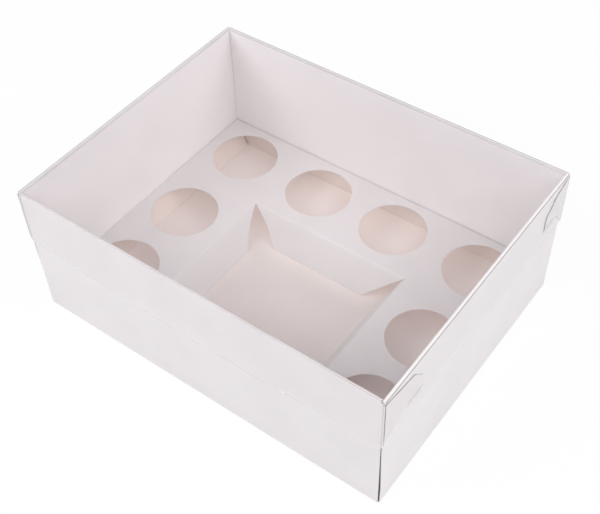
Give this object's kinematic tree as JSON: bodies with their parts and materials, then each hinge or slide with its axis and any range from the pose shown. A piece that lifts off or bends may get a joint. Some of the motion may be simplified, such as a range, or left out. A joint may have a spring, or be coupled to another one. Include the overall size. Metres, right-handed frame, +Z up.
{
  "type": "cupcake box",
  "caption": "White card bakery box with double walls, a raised insert that holds cupcakes round one cake, and a clear folded lid that lifts off",
  "frame": {"origin": "under the middle of the closed box, on the surface it stands on", "axes": "+X along the long side, +Y from the front long wall to the back one, +Z up through the lid"},
  "size_m": [0.3314, 0.2546, 0.1272],
  "materials": {
    "tray_card": "smooth white coated card, satin",
    "insert_card": "smooth white card, matt, with a warm uncoated reverse",
    "clear_film": "clear glossy sheet, creased and die cut"
  },
  "bodies": {
    "tray": {"base_tray": "tray_card", "cupcake_insert": "insert_card"},
    "lid": {"clear_lid": "clear_film"}
  },
  "joints": [
    {"name": "lid_lift", "type": "slide", "parent": "tray", "child": "lid", "axis": [0, 0, 1], "range_m": [0, 0.07]}
  ]
}
